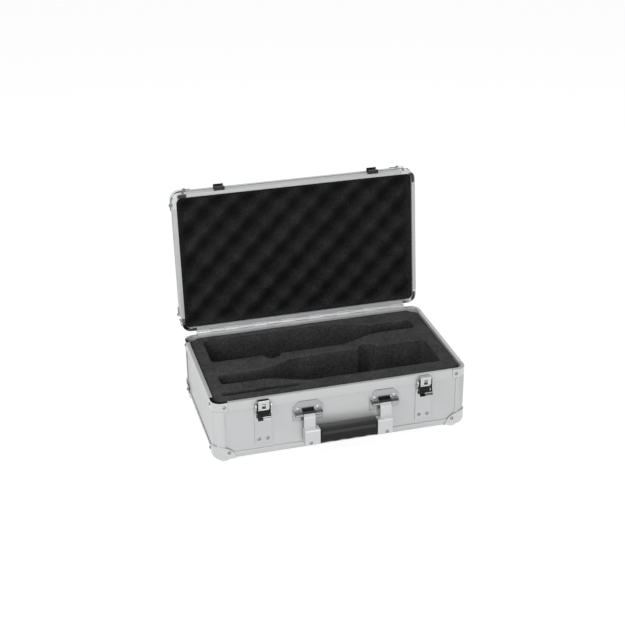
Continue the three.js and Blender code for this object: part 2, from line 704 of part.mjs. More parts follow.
function tenon(side, grow) {
  const middle = latchPlane - grip.rear - grip.depth / 2;
  const z = grip.bottom + grip.height / 2;
  const inner = handle.rightShift + side * (gripHalfLength - grip.tenonLength - grow);
  const outer = handle.rightShift + side * (gripHalfLength + overrun);
  return block(
    Math.min(inner, outer), Math.max(inner, outer),
    middle - grip.tenonDepth / 2 - grow, middle + grip.tenonDepth / 2 + grow,
    z - grip.tenonHeight / 2 - grow, z + grip.tenonHeight / 2 + grow);
}

// Arm: a strap from its barrel down into a solid end, which fills the grip's outline
function handleArm(side) {
  const x = handle.rightShift + side * handleReach;
  const endStart = gripHalfLength + seat;
  const endWidth = handleReach + handle.armWidth / 2 - endStart;
  const low = grip.bottom + grip.endShrink;
  const strap = bentSheet([
    [handle.pivotOut, handlePivotHeight], [handle.strapOut, handlePivotHeight - handle.strapDrop],
    [handle.strapOut, low + handle.strapThickness],
  ], handle.strapThickness, latchPlane, x, handle.armWidth - 2 * handle.strapInset);
  const barrel = rodAlongX(
    handle.barrelRadius, handle.armWidth, x, latchPlane - handle.pivotOut, handlePivotHeight);
  const outline = roundedSection(
    grip.rear + grip.endShrink, low, grip.depth - 2 * grip.endShrink, grip.height - 2 * grip.endShrink,
    grip.edgeRadius - grip.endShrink);
  const endX = handle.rightShift + side * (endStart + endWidth / 2);
  const end = acrossFront(outline, latchPlane, endX, endWidth);
  const screw = rivetHead(
    x, latchPlane - grip.rear - grip.depth + grip.endShrink, low + grip.screwHeight, outwards.front);
  const bore = rodAlongX(
    handle.pinRadius + handle.pinClearance, handle.armWidth + 2 * overrun, x,
    latchPlane - handle.pivotOut, handlePivotHeight);
  return joined([strap, barrel, end, screw, tenon(side, 0)]).subtract(bore);
}

function handleGrip() {
  const shape = roundedSection(grip.rear, grip.bottom, grip.depth, grip.height, grip.edgeRadius);
  const body = acrossFront(shape, latchPlane, handle.rightShift, 2 * gripHalfLength);
  return body.subtract(tenon(1, seat)).subtract(tenon(-1, seat));
}

// Finishes
const finishes = {
  panel: new THREE.MeshStandardMaterial({ color: 0xc6c7c9, roughness: 0.42, metalness: 0.35 }),
  profile: new THREE.MeshStandardMaterial({ color: 0xd4d5d7, roughness: 0.3, metalness: 0.9 }),
  chrome: new THREE.MeshStandardMaterial({ color: 0xd8dadc, roughness: 0.12, metalness: 1 }),
  dark: new THREE.MeshStandardMaterial({ color: 0x2c2c2e, roughness: 0.45, metalness: 0.5 }),
  foam: new THREE.MeshStandardMaterial({ color: 0x2b2b2c, roughness: 0.95, metalness: 0 }),
  plastic: new THREE.MeshStandardMaterial({ color: 0x1d1d1f, roughness: 0.4, metalness: 0 }),
};

const group = new THREE.Group();
const baseGroup = new THREE.Group();
const lidPivot = new THREE.Group();
const lidGroup = new THREE.Group();
lidPivot.position.set(0, hingeAxis.y, hingeAxis.z);
lidPivot.rotation.x = -lidOpenAngle;
lidGroup.position.set(0, -hingeAxis.y, -hingeAxis.z);
lidPivot.add(lidGroup);
group.add(baseGroup, lidPivot);

function addPiece(parent, name, solid, finish) {
  const mesh = new THREE.Mesh(geometryOf(solid), finishes[finish].clone());
  mesh.name = name;
  parent.add(mesh);
}

// Base
const wallBottom = edge.radius + seat;
const wallTop = rimTop - profileWall - seat;
const frontPanel = longPanel(-1, wallBottom, wallTop).subtract(panelPocket(-1)).subtract(panelPocket(1));
addPiece(baseGroup, 'base_front_panel', frontPanel, 'panel');
addPiece(baseGroup, 'base_rear_panel', longPanel(1, wallBottom, wallTop), 'panel');
addPiece(baseGroup, 'base_left_panel', shortPanel(-1, wallBottom, wallTop), 'panel');
addPiece(baseGroup, 'base_right_panel', shortPanel(1, wallBottom, wallTop), 'panel');
const footCorner = Math.SQRT2 * (foot.topRadius + overrun) + 2 * foot.inset;
addPiece(baseGroup, 'base_bottom_board', board(0, 1, footCorner - 2 * (edgeReach + seat)), 'panel');
addPiece(baseGroup, 'base_rim_profile', rimProfile(rimTop, -1), 'profile');
addPiece(baseGroup, 'base_edge_profile', carriedRound(edgeSection()), 'profile');
for (const corner of corners) {
  addPiece(baseGroup, `base_corner_post_${corner.name}`, cornerPost(corner), 'profile');
  addPiece(baseGroup, `base_rim_corner_${corner.name}`, rimCornerPiece(corner, rimTop, -1), 'chrome');
  addPiece(baseGroup, `base_footed_cap_${corner.name}`, footedCap(corner), 'chrome');
}
addPiece(baseGroup, 'base_foam_insert', foamInsert(), 'foam');
addPiece(baseGroup, 'base_foam_pad', foamPad(), 'foam');

// Lid
const lidWallBottom = lidBottom + profileWall + seat;
const lidWallTop = lidTop - edge.radius - seat;
addPiece(lidGroup, 'lid_front_panel', longPanel(-1, lidWallBottom, lidWallTop), 'panel');
addPiece(lidGroup, 'lid_rear_panel', longPanel(1, lidWallBottom, lidWallTop), 'panel');
addPiece(lidGroup, 'lid_left_panel', shortPanel(-1, lidWallBottom, lidWallTop), 'panel');
addPiece(lidGroup, 'lid_right_panel', shortPanel(1, lidWallBottom, lidWallTop), 'panel');
addPiece(lidGroup, 'lid_top_board', board(lidTop, -1, edge.lip), 'panel');
addPiece(lidGroup, 'lid_rim_profile', rimProfile(lidBottom, 1), 'profile');
addPiece(lidGroup, 'lid_edge_profile', carriedRound(placed(edgeSection(), lidTop, -1)), 'profile');
for (const corner of corners) {
  addPiece(lidGroup, `lid_rim_corner_${corner.name}`, rimCornerPiece(corner, lidBottom, 1), 'chrome');
  const lidCap = cornerCap(corner, lidTop, -1, cap.lidHeight, cap.lidRivetDepth);
  addPiece(lidGroup, `lid_cap_${corner.name}`, lidCap, 'chrome');
}
addPiece(lidGroup, 'lid_foam', lidFoam(), 'foam');

// Hinge
addPiece(baseGroup, 'hinge_base_leaf', hingeLeaf(-1), 'profile');
addPiece(lidGroup, 'hinge_lid_leaf', hingeLeaf(1), 'profile');
const hingePin = rodAlongX(hinge.pinRadius, hingeWidth, 0, hingeAxis.y, hingeAxis.z);
addPiece(baseGroup, 'hinge_pin', hingePin, 'chrome');

// Latches and handle arms, one at each side
for (const side of sides) {
  const latchX = side.x * (caseLength / 2 - latch.endMargin) + latch.rightShift;
  addPiece(baseGroup, `latch_plate_${side.name}`, latchPlate(latchX), 'chrome');
  addPiece(baseGroup, `latch_pin_${side.name}`, latchPin(latchX), 'chrome');
  addPiece(baseGroup, `latch_lever_${side.name}`, latchLever(latchX), 'chrome');
  addPiece(baseGroup, `latch_claw_${side.name}`, latchClaw(latchX), 'chrome');
  addPiece(lidGroup, `lid_hook_${side.name}`, lidHookPlate(latchX), 'dark');

  const handleX = side.x * handleReach + handle.rightShift;
  addPiece(baseGroup, `handle_bracket_${side.name}`, handleBracket(handleX), 'chrome');
  addPiece(baseGroup, `handle_pin_${side.name}`, handlePin(handleX), 'chrome');
  addPiece(baseGroup, `handle_arm_${side.name}`, handleArm(side.x), 'profile');
}
addPiece(baseGroup, 'handle_grip', handleGrip(), 'plastic');

export default group;
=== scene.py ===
import math
import bmesh
import bpy
from mathutils import Matrix, Vector, noise


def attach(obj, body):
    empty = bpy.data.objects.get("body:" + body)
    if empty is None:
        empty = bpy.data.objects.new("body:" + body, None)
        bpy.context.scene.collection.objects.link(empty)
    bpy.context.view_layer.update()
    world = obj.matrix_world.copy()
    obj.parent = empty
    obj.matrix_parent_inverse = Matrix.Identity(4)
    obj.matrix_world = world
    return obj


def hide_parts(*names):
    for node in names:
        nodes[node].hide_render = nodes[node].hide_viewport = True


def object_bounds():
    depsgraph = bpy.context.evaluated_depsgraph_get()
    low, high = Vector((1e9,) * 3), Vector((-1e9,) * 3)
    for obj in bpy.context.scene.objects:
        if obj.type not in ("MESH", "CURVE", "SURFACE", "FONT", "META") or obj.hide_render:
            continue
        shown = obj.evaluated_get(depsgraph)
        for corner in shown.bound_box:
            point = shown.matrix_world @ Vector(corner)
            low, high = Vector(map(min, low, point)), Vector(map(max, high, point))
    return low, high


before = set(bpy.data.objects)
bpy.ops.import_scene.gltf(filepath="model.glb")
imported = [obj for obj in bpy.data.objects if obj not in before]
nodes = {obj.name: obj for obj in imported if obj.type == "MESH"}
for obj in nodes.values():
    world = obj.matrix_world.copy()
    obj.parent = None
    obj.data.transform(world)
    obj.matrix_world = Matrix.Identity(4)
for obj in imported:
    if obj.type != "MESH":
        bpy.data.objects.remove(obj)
case_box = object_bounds()


# Boards
# Side walls, bottom board and lid top: thin board faced with a silver laminate that has a faint,
# even speckle. The boards are cut square and stand in the slots of the metal profiles.

def shader_group(name, inputs, outputs):
    group = bpy.data.node_groups.new(name, "ShaderNodeTree")
    for socket, kind, value in inputs:
        made = group.interface.new_socket(socket, in_out="INPUT", socket_type=kind)
        made.default_value = value
    for socket, kind in outputs:
        group.interface.new_socket(socket, in_out="OUTPUT", socket_type=kind)
    return group, group.nodes.new("NodeGroupInput"), group.nodes.new("NodeGroupOutput")


def wire(tree, source, socket):
    tree.links.new(source, socket)


def noise_on(tree, place, scale, detail, roughness=0.5):
    grain = tree.nodes.new("ShaderNodeTexNoise")
    grain.inputs["Scale"].default_value = scale
    grain.inputs["Detail"].default_value = detail
    grain.inputs["Roughness"].default_value = roughness
    wire(tree, place, grain.inputs["Vector"])
    return grain.outputs["Fac"]


def spread(tree, value, low, high, to_low, to_high):
    node = tree.nodes.new("ShaderNodeMapRange")
    for name, number in (("From Min", low), ("From Max", high), ("To Min", to_low), ("To Max", to_high)):
        node.inputs[name].default_value = number
    wire(tree, value, node.inputs["Value"])
    return node.outputs["Result"]


def combined(tree, operation, *terms):
    node = tree.nodes.new("ShaderNodeMath")
    node.operation = operation
    for slot, term in enumerate(terms):
        if isinstance(term, (int, float)):
            node.inputs[slot].default_value = term
        else:
            wire(tree, term, node.inputs[slot])
    return node.outputs[0]


def tinted(tree, colour, amount):
    node = tree.nodes.new("ShaderNodeVectorMath")
    node.operation = "SCALE"
    wire(tree, colour, node.inputs[0])
    wire(tree, amount, node.inputs["Scale"])
    return node.outputs[0]


speckle_scale, mark_scale = 1400.0, 14.0


# Fine speckle with soft hand marks: tints a colour, moves its roughness and gives a grain height
def make_speckle():
    group, start, end = shader_group("fine_speckle", [
        ("Colour", "NodeSocketColor", (0.6, 0.6, 0.6, 1.0)), ("Tint", "NodeSocketFloat", 0.05),
        ("Roughness", "NodeSocketFloat", 0.4), ("Marks", "NodeSocketFloat", 0.06),
    ], [("Colour", "NodeSocketColor"), ("Roughness", "NodeSocketFloat"), ("Height", "NodeSocketFloat")])
    place = group.nodes.new("ShaderNodeTexCoord").outputs["Object"]
    grain = noise_on(group, place, speckle_scale, 2.0)
    marks = spread(group, noise_on(group, place, mark_scale, 5.0, 0.6), 0.3, 0.7, -1.0, 1.0)
    centred = combined(group, "MULTIPLY_ADD", grain, 2.0, -1.0)
    amount = combined(group, "MULTIPLY_ADD", centred, start.outputs["Tint"], 1.0)
    wire(group, tinted(group, start.outputs["Colour"], amount), end.inputs["Colour"])
    rough = combined(group, "MULTIPLY_ADD", marks, start.outputs["Marks"], start.outputs["Roughness"])
    wire(group, rough, end.inputs["Roughness"])
    wire(group, grain, end.inputs["Height"])
    return group


speckle = make_speckle()


def finish_material(name, metallic, roughness, colour):
    material = bpy.data.materials.new(name)
    material.use_nodes = True
    shader = material.node_tree.nodes["Principled BSDF"]
    shader.inputs["Metallic"].default_value = metallic
    shader.inputs["Roughness"].default_value = roughness
    shader.inputs["Base Color"].default_value = (*colour, 1.0)
    return material, material.node_tree, shader


def bumped(tree, height, shader, distance, strength):
    bump = tree.nodes.new("ShaderNodeBump")
    bump.inputs["Distance"].default_value = distance
    bump.inputs["Strength"].default_value = strength
    wire(tree, height, bump.inputs["Height"])
    wire(tree, bump.outputs["Normal"], shader.inputs["Normal"])


def speckled(name, colour, metallic, roughness, tint, marks, depth):
    material, tree, shader = finish_material(name, metallic, roughness, colour)
    fine = tree.nodes.new("ShaderNodeGroup")
    fine.node_tree = speckle
    fine.inputs["Colour"].default_value = (*colour, 1.0)
    for socket, number in (("Tint", tint), ("Roughness", roughness), ("Marks", marks)):
        fine.inputs[socket].default_value = number
    wire(tree, fine.outputs["Colour"], shader.inputs["Base Color"])
    wire(tree, fine.outputs["Roughness"], shader.inputs["Roughness"])
    bumped(tree, fine.outputs["Height"], shader, depth, 0.4)
    return material


silver_laminate = speckled("silver_laminate", (0.56, 0.565, 0.57), 0.35, 0.36, 0.07, 0.05, 0.00005)
weld_reach = 0.00001
sharp_edge = math.radians(35.0)


def dress(node, material, edge_width, segments=2):
    piece = nodes[node]
    piece.data.materials.clear()
    piece.data.materials.append(material)
    weld = piece.modifiers.new("weld", "WELD")
    weld.merge_threshold = weld_reach
    piece.data.shade_smooth()
    eased(piece, edge_width, segments)


# Breaks the sharp edges, and keeps the flat faces flat in the light
def eased(piece, width, segments):
    bevel = piece.modifiers.new("eased_edges", "BEVEL")
    bevel.width = width
    bevel.segments = segments
    bevel.limit_method = "ANGLE"
    bevel.angle_limit = sharp_edge
    flat = piece.modifiers.new("flat_faces", "WEIGHTED_NORMAL")
    flat.mode = "FACE_AREA"
    flat.weight = 80


board_edge = 0.0003
for shell in ("base", "lid"):
    for wall in ("front", "rear", "left", "right"):
        dress(f"{shell}_{wall}_panel", silver_laminate, board_edge, 1)
for board in ("base_bottom_board", "lid_top_board"):
    dress(board, silver_laminate, board_edge, 1)


# Profiles
# Extruded aluminium with a satin anodised face, bent round the corners: rim profiles of base and lid,
# rounded profiles along the bottom and top edges, and the four upright corner posts. The lid's rim
# is a little rougher than the rest, and painted darker as painted shade.

satin_aluminium = speckled("satin_aluminium", (0.58, 0.585, 0.59), 0.3, 0.34, 0.03, 0.05, 0.00003)
# Painted shade: a darker copy of the satin aluminium, for the lid's rim
shaded_aluminium = speckled("shaded_aluminium", (0.47, 0.475, 0.48), 0.3, 0.38, 0.03, 0.05, 0.00003)
rim_edge, profile_edge = 0.0005, 0.0004
for shell, rim_finish in (("base", satin_aluminium), ("lid", shaded_aluminium)):
    dress(f"{shell}_rim_profile", rim_finish, rim_edge)
    dress(f"{shell}_edge_profile", satin_aluminium, profile_edge)
corner_names = ("front_left", "front_right", "rear_right", "rear_left")
for corner in corner_names:
    dress(f"base_corner_post_{corner}", satin_aluminium, profile_edge)


# Chromed corners
# Pressed steel corner pieces, chromed: folded sleeves over the rim corners, and ball-cornered caps,
# with turned feet under the base. Each is held by two duller blind rivets with a dimpled head.

chrome_colour = (0.57, 0.575, 0.58)
polished_chrome = speckled("polished_chrome", chrome_colour, 1.0, 0.16, 0.02, 0.04, 0.00002)
rivet_steel = speckled("rivet_steel", (0.26, 0.263, 0.268), 0.9, 0.34, 0.03, 0.04, 0.00002)
sleeve_edge, cap_edge = 0.00025, 0.0004
for corner in corner_names:
    dress(f"base_rim_corner_{corner}", polished_chrome, sleeve_edge)
    dress(f"base_footed_cap_{corner}", polished_chrome, cap_edge)
    dress(f"lid_cap_{corner}", polished_chrome, cap_edge)

half_length, half_width = 0.212, 0.1215
hinge_axis = Vector((0.0, 0.1255, 0.1059))
lid_swing = Matrix.Rotation(math.radians(-96.0), 4, "X")
base_top, lid_bottom, lid_top = 0.1055, 0.1063, 0.1423


# A point or direction of the closed lid, carried to where the lid stands open
def opened(point):
    return hinge_axis + lid_swing @ (Vector(point) - hinge_axis)


def opened_way(way):
    return lid_swing @ Vector(way)


# Mask that is 1 inside a box of the piece's own space, and fades to 0 at its faces
def make_box_mask():
    group, start, end = shader_group("inside_box", [
        ("Centre", "NodeSocketVector", (0.0, 0.0, 0.0)), ("Half", "NodeSocketVector", (0.01, 0.01, 0.01)),
        ("Fade", "NodeSocketFloat", 0.0002),
    ], [("Mask", "NodeSocketFloat")])
    vectors = [group.nodes.new("ShaderNodeVectorMath") for _ in range(3)]
    for node, operation in zip(vectors, ("SUBTRACT", "ABSOLUTE", "SUBTRACT")):
        node.operation = operation
    wire(group, group.nodes.new("ShaderNodeTexCoord").outputs["Object"], vectors[0].inputs[0])
    wire(group, start.outputs["Centre"], vectors[0].inputs[1])
    wire(group, vectors[0].outputs[0], vectors[1].inputs[0])
    wire(group, start.outputs["Half"], vectors[2].inputs[0])
    wire(group, vectors[1].outputs[0], vectors[2].inputs[1])
    parts = group.nodes.new("ShaderNodeSeparateXYZ")
    wire(group, vectors[2].outputs[0], parts.inputs[0])
    least = combined(group, "MINIMUM", combined(group, "MINIMUM", parts.outputs[0], parts.outputs[1]),
                     parts.outputs[2])
    share = combined(group, "DIVIDE", least, start.outputs["Fade"])
    wire(group, spread(group, share, 0.0, 1.0, 0.0, 1.0), end.inputs["Mask"])
    return group


box_mask = make_box_mask()


# A mix of two colours by an amount: the sockets of both colours and of the mixed one
def colour_mix(tree, amount):
    mix = tree.nodes.new("ShaderNodeMix")
    mix.data_type = "RGBA"
    wire(tree, amount, mix.inputs["Factor"])
    return mix.inputs[6], mix.inputs[7], mix.outputs[2]


# Metal of one colour with boxes of another: each box is its middle and its half size
def two_tone(name, outside, inside, metallic, roughness, boxes, fade=0.0002):
    material, tree, shader = finish_material(name, metallic, roughness, outside)
    covered = 0.0
    for centre, half in boxes:
        mask = tree.nodes.new("ShaderNodeGroup")
        mask.node_tree = box_mask
        mask.inputs["Centre"].default_value = centre
        mask.inputs["Half"].default_value = half
        mask.inputs["Fade"].default_value = fade
        covered = combined(tree, "MAXIMUM", mask.outputs["Mask"], covered)
    first, second, mixed = colour_mix(tree, covered)
    first.default_value = (*outside, 1.0)
    second.default_value = (*inside, 1.0)
    wire(tree, mixed, shader.inputs["Base Color"])
    return material


# Painted dark reflection on one leg of each fold of the lid's sleeves: places on the closed lid, half
# sizes open
painted_dark_reflection = (0.05, 0.05, 0.053)
reflection_fade = 0.0025
reflection_patches = [((-0.196, -0.118), (0.009, 0.004, 0.005)), ((0.2055, -0.108), (0.0065, 0.004, 0.01)),
          ((-0.2055, 0.112), (0.006, 0.004, 0.006)), ((0.2065, 0.11), (0.005, 0.004, 0.01))]
reflection_boxes = [(opened((*place, lid_bottom)), half) for place, half in reflection_patches]
sleeve_chrome = two_tone("sleeve_chrome", chrome_colour, painted_dark_reflection, 1.0, 0.2, reflection_boxes, reflection_fade)
for corner in corner_names:
    dress(f"lid_rim_corner_{corner}", sleeve_chrome, sleeve_edge)


def new_piece(name, verts, faces, material, body):
    mesh = bpy.data.meshes.new(name)
    mesh.from_pydata([tuple(v) for v in verts], [], faces)
    mesh.update()
    piece = bpy.data.objects.new(name, mesh)
    bpy.context.scene.collection.objects.link(piece)
    mesh.materials.append(material)
    mesh.shade_smooth()
    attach(piece, body)
    return piece


# Outline of a rivet head from its rim to the floor of its dimple: distance out and height, in mm
millimetre = 0.001
rivet_outline = ((2.7, -0.1), (2.95, 0.1), (2.9, 0.4), (2.5, 0.9), (1.9, 1.35), (1.3, 1.6), (0.95, 1.62),
                 (0.75, 1.45), (0.4, 1.4))
rivet_steps = 20


def rivet_heads(name, seats, material, body):
    verts, faces = [], []
    for seat, way in seats:
        turn = Vector(way).to_track_quat("Z", "Y")
        first = len(verts)
        for out, rise in rivet_outline:
            for step in range(rivet_steps):
                angle = 2 * math.pi * step / rivet_steps
                local = Vector((out * math.cos(angle), out * math.sin(angle), rise)) * millimetre
                verts.append(Vector(seat) + turn @ local)
        for ring in range(len(rivet_outline) - 1):
            for step in range(rivet_steps):
                after = (step + 1) % rivet_steps
                low, high = first + ring * rivet_steps, first + (ring + 1) * rivet_steps
                faces.append((low + step, low + after, high + after, high + step))
        last = first + (len(rivet_outline) - 1) * rivet_steps
        faces.append(tuple(last + step for step in range(rivet_steps)))
        faces.append(tuple(first + step for step in reversed(range(rivet_steps))))
    new_piece(name, verts, faces, material, body)


# Seats on the front or rear face and on the side face of each corner
def corner_seats(inset, proud, height):
    seats = []
    for x in (-1, 1):
        for y in (-1, 1):
            seats.append(((x * (half_length - inset), y * (half_width + proud), height), (0, y, 0)))
            seats.append(((x * (half_length + proud), y * (half_width - inset), height), (x, 0, 0)))
    return seats


def lifted(seats):
    return [(opened(seat), opened_way(way)) for seat, way in seats]


cap_proud = 0.0016
rim_flange = 0.0155
cap_rivet_inset, sleeve_rivet_inset = 0.024, 0.019
foot_rivet_height, lid_rivet_depth = 0.015, 0.0105
base_seats = corner_seats(cap_rivet_inset, cap_proud, foot_rivet_height)
base_seats += corner_seats(sleeve_rivet_inset, 0.0, base_top - rim_flange / 2)
lid_seats = corner_seats(cap_rivet_inset, cap_proud, lid_top - lid_rivet_depth)
lid_seats += corner_seats(sleeve_rivet_inset, 0.0, lid_bottom + rim_flange / 2)
rivet_heads("base_corner_rivets", base_seats, rivet_steel, "base")
rivet_heads("lid_corner_rivets", lifted(lid_seats), rivet_steel, "lid")


# Foam in the base
# Open-cell grey foam: a block cut out for two bottles and an opener, and a pad under it. The cut
# edges are a little soft and the faces are not quite flat.

clump_scale, nap_scale = 220.0, 22.0


# Open cells in small clumps, with a broad nap: mixes two colours and gives a height
def make_cells():
    group, start, end = shader_group("foam_cells", [
        ("Dark", "NodeSocketColor", (0.02, 0.02, 0.02, 1.0)),
        ("Light", "NodeSocketColor", (0.06, 0.06, 0.06, 1.0)), ("Scale", "NodeSocketFloat", 500.0),
    ], [("Colour", "NodeSocketColor"), ("Height", "NodeSocketFloat")])
    place = group.nodes.new("ShaderNodeTexCoord").outputs["Object"]
    cells = group.nodes.new("ShaderNodeTexVoronoi")
    wire(group, place, cells.inputs["Vector"])
    wire(group, start.outputs["Scale"], cells.inputs["Scale"])
    clumps = spread(group, noise_on(group, place, clump_scale, 4.0, 0.65), 0.3, 0.7, 0.0, 0.55)
    nap = spread(group, noise_on(group, place, nap_scale, 3.0, 0.6), 0.35, 0.65, -0.12, 0.12)
    cells_and_clumps = combined(group, "MULTIPLY_ADD", cells.outputs["Distance"], 0.5, clumps)
    both = combined(group, "ADD", cells_and_clumps, nap)
    first, second, mixed = colour_mix(group, both)
    wire(group, start.outputs["Dark"], first)
    wire(group, start.outputs["Light"], second)
    wire(group, mixed, end.inputs["Colour"])
    wire(group, both, end.inputs["Height"])
    return group


foam_cells = make_cells()


def foam_material(name, dark, light, scale, depth):
    material, tree, shader = finish_material(name, 0.0, 0.95, light)
    shader.inputs["Specular IOR Level"].default_value = 0.15
    cells = tree.nodes.new("ShaderNodeGroup")
    cells.node_tree = foam_cells
    cells.inputs["Dark"].default_value = (*dark, 1.0)
    cells.inputs["Light"].default_value = (*light, 1.0)
    cells.inputs["Scale"].default_value = scale
    bumped(tree, cells.outputs["Height"], shader, depth, 0.9)
    wire(tree, cells.outputs["Colour"], shader.inputs["Base Color"])
    return material, tree, shader, cells


foam_dark, foam_light = (0.014, 0.014, 0.0145), (0.074, 0.074, 0.076)
block_foam = foam_material("block_foam", foam_dark, foam_light, 420.0, 0.0006)[0]
foam_voxel = 0.0022
wave_height, wave_length = 0.0012, 0.03
waviness = bpy.data.textures.new("foam_waviness", "CLOUDS")
waviness.noise_scale = wave_length


def cut_foam(name, node, body):
    piece = bpy.data.objects.new(name, nodes[node].data.copy())
    bpy.context.scene.collection.objects.link(piece)
    piece.data.materials.clear()
    piece.data.materials.append(block_foam)
    work = bmesh.new()
    work.from_mesh(piece.data)
    bmesh.ops.remove_doubles(work, verts=work.verts, dist=weld_reach)
    work.to_mesh(piece.data)
    work.free()
    remesh = piece.modifiers.new("even_faces", "REMESH")
    remesh.mode = "VOXEL"
    remesh.voxel_size = foam_voxel
    remesh.use_smooth_shade = True
    soften = piece.modifiers.new("soft_edges", "SMOOTH")
    soften.factor = 0.5
    soften.iterations = 2
    wave = piece.modifiers.new("waviness", "DISPLACE")
    wave.texture = waviness
    wave.strength = wave_height
    wave.mid_level = 1.0
    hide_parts(node)
    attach(piece, body)


cut_foam("cut_foam_block", "base_foam_insert", "base")
cut_foam("floor_foam_pad", "base_foam_pad", "base")


# Egg-crate foam in the lid
# A sheet of darker foam, profiled on one face into rounded crests and dips that alternate like a
# chessboard and run together more along one diagonal. A plain margin fills it out to the frame.

egg_foam, egg_tree, egg_shader, egg_cells = foam_material(
    "egg_foam", (0.0022, 0.0022, 0.0024), (0.022, 0.022, 0.023), 520.0, 0.0006)
# Painted shade and light: the foam is painted lighter on the crests and darker in the dips
crest_shade, dip_shade = 1.32, 0.42
dips = egg_tree.nodes.new("ShaderNodeAttribute")
dips.attribute_name = "dip"
shade = spread(egg_tree, dips.outputs["Fac"], 0.0, 1.0, crest_shade, dip_shade)
wire(egg_tree, tinted(egg_tree, egg_cells.outputs["Colour"], shade), egg_shader.inputs["Base Color"])

corner_radius = 0.016
foam_inset = 0.0063
foam_corner = corner_radius - foam_inset
crate_pitch = 0.053
steps_per_pitch = 20
crate_step = crate_pitch / steps_per_pitch
crate_wave = 2 * math.pi / crate_pitch
crate_drop = 0.01552
crate_margin = 0.007
ridge_share = 0.67
pinch_height, pinch_reach = 0.0012, 0.002
uneven_height, uneven_scale = 0.0004, 60.0
crate_crest = lid_bottom + 0.003
crate_back = 0.1376
half_x, half_y = half_length - foam_inset, half_width - foam_inset
across, along = round(2 * half_x / crate_step), round(2 * half_y / crate_step)


# Square grid with its corner patches drawn round, so that its border follows the lid's outline
def rounded_place(x, y):
    u = (abs(x) - half_x + foam_corner) / foam_corner
    v = (abs(y) - half_y + foam_corner) / foam_corner
    if u > 0 and v > 0:
        round_x = half_x - foam_corner + foam_corner * u * math.sqrt(1 - v * v / 2)
        round_y = half_y - foam_corner + foam_corner * v * math.sqrt(1 - u * u / 2)
        return math.copysign(round_x, x), math.copysign(round_y, y)
    return x, y


# Profiled face: level with the crests in the margin, drawn in at the border and a little uneven
crate_verts, crate_dips = [], []
for j in range(along + 1):
    for i in range(across + 1):
        x, y = rounded_place(-half_x + 2 * half_x * i / across, -half_y + 2 * half_y * j / along)
        border = min(half_x - abs(x), half_y - abs(y))
        pinch = pinch_height * math.exp(-border / pinch_reach)
        filled = math.exp(-(border / crate_margin) ** 2)
        ridge, cross = math.cos(crate_wave * (x + y)), math.cos(crate_wave * (x - y))
        dip = (1 - filled) * (1 - ridge_share * ridge - (1 - ridge_share) * cross) / 2
        uneven = uneven_height * (1 + noise.noise(Vector((x, y, 0.0)) * uneven_scale))
        crate_verts.append(opened((x, y, crate_crest + crate_drop * dip + uneven + pinch)))
        crate_dips.append(dip)

# Faces of the profiled side, then the border carried to a flat back
row = across + 1
crate_faces = [(j * row + i, (j + 1) * row + i, (j + 1) * row + i + 1, j * row + i + 1)
               for j in range(along) for i in range(across)]
border_loop = (list(range(across)) + [j * row + across for j in range(along)]
               + [along * row + i for i in range(across, 0, -1)] + [j * row for j in range(along, 0, -1)])
back_first = len(crate_verts)
for index in border_loop:
    i, j = index % row, index // row
    x, y = rounded_place(-half_x + 2 * half_x * i / across, -half_y + 2 * half_y * j / along)
    crate_verts.append(opened((x, y, crate_back)))
    crate_dips.append(0.5)
for k, index in enumerate(border_loop):
    after = (k + 1) % len(border_loop)
    crate_faces.append((index, border_loop[after], back_first + after, back_first + k))
crate_faces.append(tuple(back_first + k for k in range(len(border_loop))))
crate = new_piece("egg_crate_sheet", crate_verts, crate_faces, egg_foam, "lid")
dip_layer = crate.data.attributes.new("dip", "FLOAT", "POINT")
dip_layer.data.foreach_set("value", crate_dips)
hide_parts("lid_foam")


# Hinge
# One continuous hinge along the rear in satin zinced steel: two riveted leaves with fifteen knuckles
# between them on one long pin. Its barrel fills the gap between the base and the open lid.

zinced_steel = speckled("zinced_steel", (0.5, 0.505, 0.512), 0.6, 0.36, 0.04, 0.05, 0.00003)
fitting_edge = 0.0002
for part in ("base_leaf", "lid_leaf", "pin"):
    dress(f"hinge_{part}", zinced_steel, fitting_edge, 1)
leaf_face = half_width + 0.0015
leaf_rivet_spacing, leaf_rivet_rise = 0.058, 0.0135
leaf_rivets = [leaf_rivet_spacing * step for step in range(-3, 4)]
base_leaf_seats = [((x, leaf_face, hinge_axis.z - leaf_rivet_rise), (0, 1, 0)) for x in leaf_rivets]
lid_leaf_seats = [((x, leaf_face, hinge_axis.z + leaf_rivet_rise), (0, 1, 0)) for x in leaf_rivets]
rivet_heads("hinge_base_rivets", base_leaf_seats, zinced_steel, "base")
rivet_heads("hinge_lid_rivets", lifted(lid_leaf_seats), zinced_steel, "lid")


# Latches
# Draw latches: a chromed plate with ears, a blackened lever with a painted highlight on its toe, a chromed
# claw, and a dark hook plate on the lid. The plate's face is painted black as painted shade where the
# lever and the claw cover it.

dark_steel = speckled("dark_steel", (0.02, 0.02, 0.022), 0.6, 0.38, 0.1, 0.05, 0.00003)
plate_face = -0.1214
latch_places = {"left": -0.1315, "right": 0.1375}
bright, black, toe_highlight = (0.52, 0.525, 0.53), (0.022, 0.022, 0.023), (0.36, 0.365, 0.37)
half_plate, half_toe = (0.0108, 0.002, 0.0095), (0.0068, 0.02, 0.0024)
# Painted shade: the plate's face is black where the lever and the claw cover it
plate_shade_boxes = [((middle, -0.1206, 0.0795), half_plate) for middle in latch_places.values()]
# Painted highlight: a bright patch on each lever's toe
toe_highlight_boxes = [((middle + 0.0043, -0.1353, 0.0751), half_toe) for middle in latch_places.values()]
latch_plate_metal = two_tone("latch_plate_metal", bright, black, 1.0, 0.2, plate_shade_boxes)
lever_metal = two_tone("lever_metal", black, toe_highlight, 1.0, 0.24, toe_highlight_boxes)
plate_rivet_height, plate_rivet_step = 0.031, 0.007
hook_face, hook_rivet_height, hook_rivet_step = -half_width - 0.0017, lid_bottom + 0.0105, 0.0045
